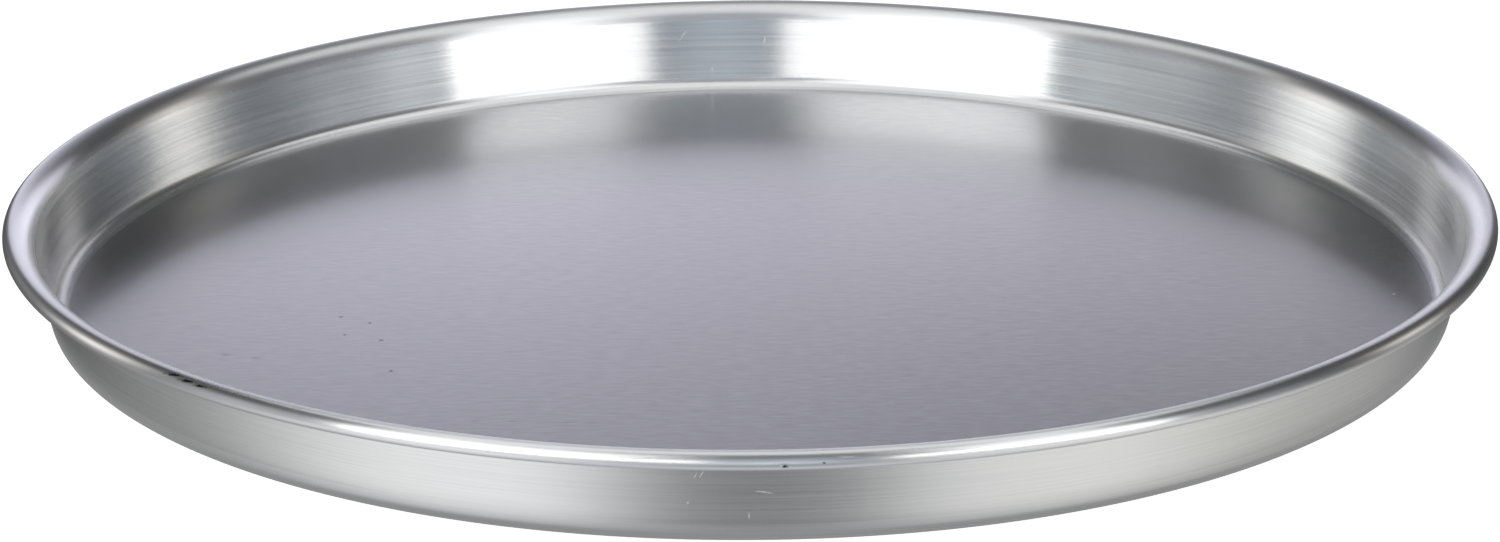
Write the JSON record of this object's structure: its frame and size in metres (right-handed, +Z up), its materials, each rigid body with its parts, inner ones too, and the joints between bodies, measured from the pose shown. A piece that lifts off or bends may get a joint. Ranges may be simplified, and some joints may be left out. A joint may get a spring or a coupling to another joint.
{
  "type": "baking pan",
  "caption": "Round shallow baking pan of bare aluminium sheet with tapered sides, a rounded base corner and a rolled rim bead.",
  "frame": {"origin": "centre of the pan's flat underside, on the surface it stands on", "axes": "+Z up along the pan's axis, out of its open top; X and Y lie in the base and are alike"},
  "size_m": [0.375, 0.375, 0.025],
  "materials": {
    "pan_aluminium": "bare sheet: satin rolled floor, spun walls with fine round lines, polished rim bead",
    "wire_steel": "galvanised drawn wire"
  },
  "bodies": {
    "root": {"pan_shell": "pan_aluminium", "rim_wire": "wire_steel"}
  },
  "joints": []
}
